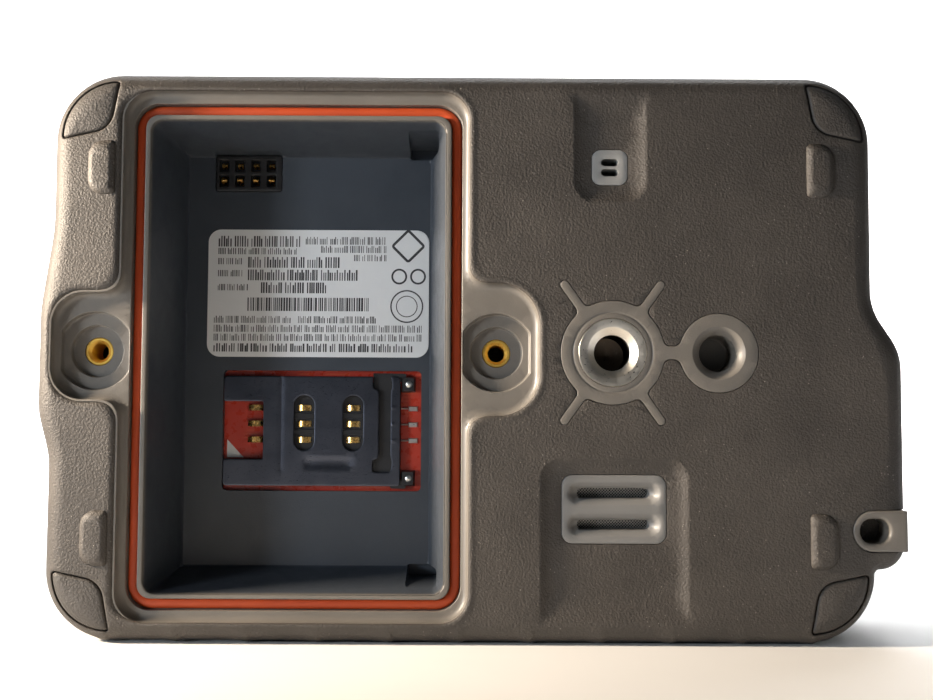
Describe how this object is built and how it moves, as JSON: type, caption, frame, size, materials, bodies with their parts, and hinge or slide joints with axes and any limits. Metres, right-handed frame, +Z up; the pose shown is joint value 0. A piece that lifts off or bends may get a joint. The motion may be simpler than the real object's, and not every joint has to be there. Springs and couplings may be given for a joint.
{
  "type": "satellite phone",
  "caption": "Rugged pocket satellite phone hotspot seen with its battery bay open: rubber-clad case, flip-up antenna, sealed bay, SIM reader, tripod socket and strap eye.",
  "frame": {"origin": "centre of the whole envelope, on the surface that the device stands on with its ridged long edge down", "axes": "X along the length, Y through the thickness with the back at -Y and the display at +Y, Z up"},
  "size_m": [0.1264, 0.0318, 0.0828],
  "materials": {
    "rear_overmould": "fine-grained dark warm grey rubber",
    "front_overmould": "fine-grained dark warm grey rubber",
    "corner_bumper_top_left": "smooth dark grey rubber",
    "corner_bumper_top_right": "smooth dark grey rubber",
    "corner_bumper_bottom_left": "smooth dark grey rubber",
    "corner_bumper_bottom_right": "smooth dark grey rubber",
    "rear_housing": "satin slate grey",
    "front_housing": "satin charcoal",
    "bay_seal": "orange-red silicone",
    "cover_screw_inserts": "turned brass",
    "tripod_insert": "turned steel",
    "rating_label": "white satin label",
    "speaker_mesh": "fine woven mesh",
    "vent_membrane": "porous membrane",
    "speaker": "moulded frame",
    "battery_connector": "black moulding",
    "battery_contacts": "gold plated",
    "sim_board": "red solder mask",
    "sim_socket_base": "black moulding",
    "sim_contacts": "gold plated",
    "sim_hinge_pin": "bright pin",
    "sim_cover": "stamped steel",
    "case_seal": "moulded gasket",
    "case_screws": "black zinc",
    "display_window": "clear hard coat",
    "display_gasket": "foam gasket",
    "display_module": "reflective LCD",
    "key_left": "satin key",
    "key_up": "satin key",
    "key_down": "satin key",
    "key_right": "satin key",
    "keypad_mat": "translucent silicone",
    "dome_switches": "snap domes",
    "main_board": "green solder mask",
    "satellite_module": "tinned can",
    "wireless_module_can": "tinned can",
    "power_shield_can": "tinned can",
    "positioning_antenna": "ceramic patch",
    "antenna_arm": "satin black",
    "antenna_cover": "satin black",
    "antenna_core": "dielectric rod",
    "antenna_hinge_pin": "ground pin",
    "antenna_detent_spring": "spring washer",
    "port_door": "soft flap",
    "usb_connector": "stamped shell",
    "external_antenna_connector": "gold plated",
    "sos_guard": "satin flap",
    "sos_button": "red button",
    "sos_switch": "tactile switch"
  },
  "bodies": {
    "case": {"rear_overmould": "rear_overmould", "front_overmould": "front_overmould", "corner_bumper_top_left": "corner_bumper_top_left", "corner_bumper_top_right": "corner_bumper_top_right", "corner_bumper_bottom_left": "corner_bumper_bottom_left", "corner_bumper_bottom_right": "corner_bumper_bottom_right", "rear_housing": "rear_housing", "front_housing": "front_housing", "bay_seal": "bay_seal", "cover_screw_inserts": "cover_screw_inserts", "tripod_insert": "tripod_insert", "rating_label": "rating_label", "speaker_mesh": "speaker_mesh", "vent_membrane": "vent_membrane", "speaker": "speaker", "battery_connector": "battery_connector", "battery_contacts": "battery_contacts", "sim_board": "sim_board", "sim_socket_base": "sim_socket_base", "sim_contacts": "sim_contacts", "case_seal": "case_seal", "case_screws": "case_screws", "display_window": "display_window", "display_gasket": "display_gasket", "display_module": "display_module", "keypad_mat": "keypad_mat", "dome_switches": "dome_switches", "main_board": "main_board", "satellite_module": "satellite_module", "wireless_module_can": "wireless_module_can", "power_shield_can": "power_shield_can", "positioning_antenna": "positioning_antenna", "antenna_hinge_pin": "antenna_hinge_pin", "antenna_detent_spring": "antenna_detent_spring", "usb_connector": "usb_connector", "external_antenna_connector": "external_antenna_connector", "sos_switch": "sos_switch"},
    "antenna": {"antenna_arm": "antenna_arm", "antenna_cover": "antenna_cover", "antenna_core": "antenna_core"},
    "port_flap": {"port_door": "port_door"},
    "sos_flap": {"sos_guard": "sos_guard"},
    "sos_plunger": {"sos_button": "sos_button"},
    "sim_slider": {"sim_hinge_pin": "sim_hinge_pin"},
    "sim_lid": {"sim_cover": "sim_cover"},
    "left_key": {"key_left": "key_left"},
    "up_key": {"key_up": "key_up"},
    "down_key": {"key_down": "key_down"},
    "right_key": {"key_right": "key_right"}
  },
  "joints": [
    {"name": "antenna_hinge", "type": "hinge", "parent": "case", "child": "antenna", "pos_m": [0.0529, 0.0102, 0.029], "axis": [-1, 0, 0], "range_deg": [0, 90]},
    {"name": "port_door_hinge", "type": "hinge", "parent": "case", "child": "port_flap", "pos_m": [-0.0621, 0.0096, 0.03105], "axis": [0, -1, 0], "range_deg": [0, 95]},
    {"name": "sos_guard_hinge", "type": "hinge", "parent": "case", "child": "sos_flap", "pos_m": [-0.01525, 0.00685, 0.08235], "axis": [1, 0, 0], "range_deg": [0, 110]},
    {"name": "sos_press", "type": "slide", "parent": "case", "child": "sos_plunger", "axis": [0, 0, -1], "range_m": [0, 0.0008], "stiffness_N_per_m": 500, "springref_m": -0.0004},
    {"name": "sim_cover_slide", "type": "slide", "parent": "case", "child": "sim_slider", "axis": [1, 0, 0], "range_m": [0, 0.001]},
    {"name": "sim_cover_hinge", "type": "hinge", "parent": "sim_slider", "child": "sim_lid", "pos_m": [-0.01115, 0.00175, 0.0304], "axis": [0, 0, 1], "range_deg": [0, 100]},
    {"name": "key_left_press", "type": "slide", "parent": "case", "child": "left_key", "axis": [0, -1, 0], "range_m": [0, 0.0005], "stiffness_N_per_m": 600, "springref_m": -0.0004},
    {"name": "key_up_press", "type": "slide", "parent": "case", "child": "up_key", "axis": [0, -1, 0], "range_m": [0, 0.0005], "stiffness_N_per_m": 600, "springref_m": -0.0004},
    {"name": "key_down_press", "type": "slide", "parent": "case", "child": "down_key", "axis": [0, -1, 0], "range_m": [0, 0.0005], "stiffness_N_per_m": 600, "springref_m": -0.0004},
    {"name": "key_right_press", "type": "slide", "parent": "case", "child": "right_key", "axis": [0, -1, 0], "range_m": [0, 0.0005], "stiffness_N_per_m": 600, "springref_m": -0.0004}
  ]
}
